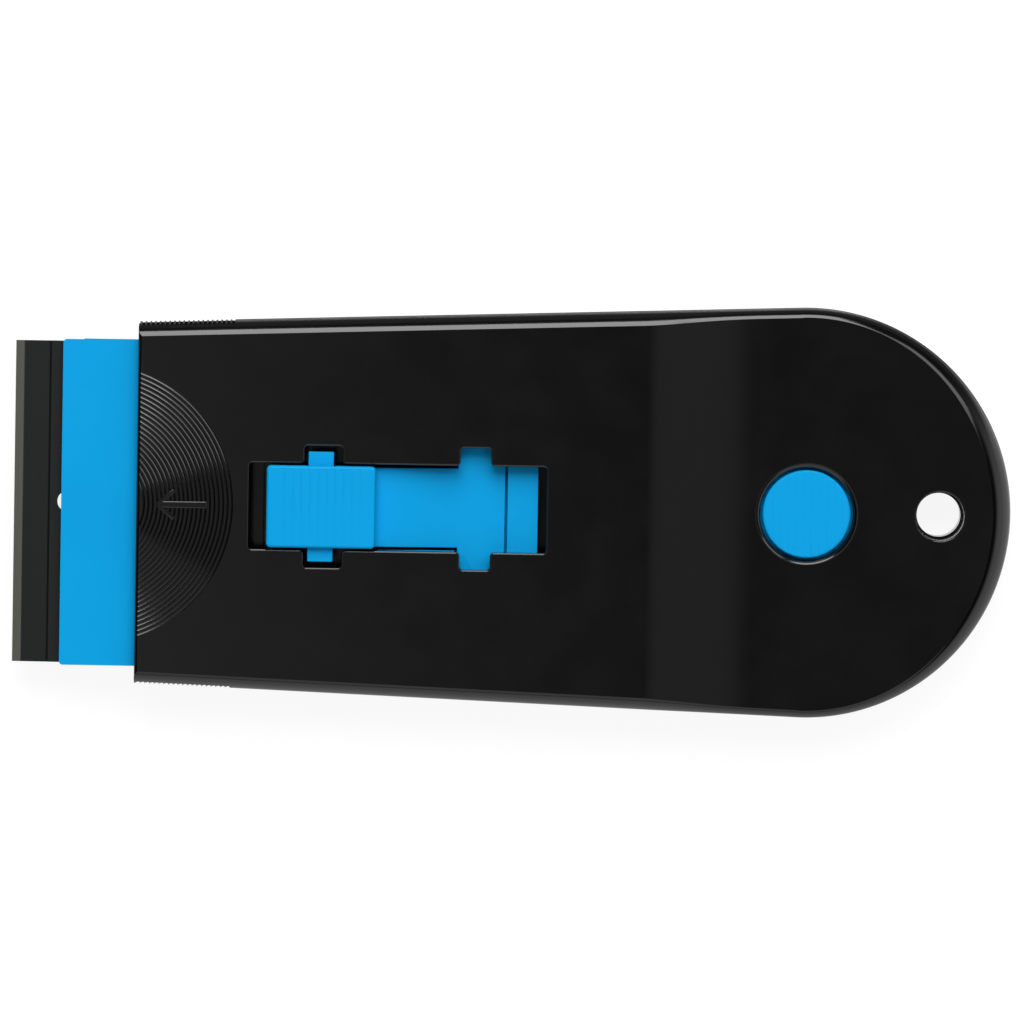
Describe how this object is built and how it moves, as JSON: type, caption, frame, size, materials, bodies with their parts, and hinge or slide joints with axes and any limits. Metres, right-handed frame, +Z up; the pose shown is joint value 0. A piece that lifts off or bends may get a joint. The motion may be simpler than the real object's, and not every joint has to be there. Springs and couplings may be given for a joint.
{
  "type": "plastic scraper",
  "caption": "Flat pocket scraper: a plastic blade in a sliding holder that a sprung thumb pad locks out or back, with a blade-change button and a hanging hole.",
  "frame": {"origin": "on the underside's plane, below the middle of the tool's outer box with the blade out", "axes": "+X from the blade towards the hanging hole, +Y across the tool, +Z up through the thumb pad"},
  "size_m": [0.1182, 0.0486, 0.0104],
  "materials": {
    "housing_black": "black moulded plastic, satin gloss",
    "slider_blue": "bright blue moulded plastic, satin",
    "blade_grey": "dark grey moulded plastic, matt",
    "spring_steel": "drawn spring wire"
  },
  "bodies": {
    "housing": {"lower_shell": "housing_black", "upper_shell": "housing_black", "release_spring": "spring_steel"},
    "carrier": {"blade_carrier": "slider_blue", "clamp_plate": "slider_blue"},
    "blade": {"scraper_blade": "blade_grey"},
    "thumb": {"spring_tongue": "slider_blue", "thumb_pad": "slider_blue"},
    "button": {"release_button": "slider_blue"}
  },
  "joints": [
    {"name": "carrier_slide", "type": "slide", "parent": "housing", "child": "carrier", "axis": [1, 0, 0], "range_m": [0, 0.0183], "deforming": ["spring_tongue"]},
    {"name": "thumb_press", "type": "hinge", "parent": "carrier", "child": "thumb", "pos_m": [-0.00886, 0, 0.0067], "axis": [0, -1, 0], "range_deg": [0, 9], "stiffness_Nm_per_rad": 0.4, "springref_deg": -1.15},
    {"name": "release_press", "type": "slide", "parent": "housing", "child": "button", "axis": [0, 0, -1], "range_m": [0, 0.0016], "stiffness_N_per_m": 1500, "springref_m": -0.001, "deforming": ["release_spring"]},
    {"name": "blade_draw", "type": "slide", "parent": "carrier", "child": "blade", "axis": [-1, 0, 0], "range_m": [0, 0.014]}
  ]
}
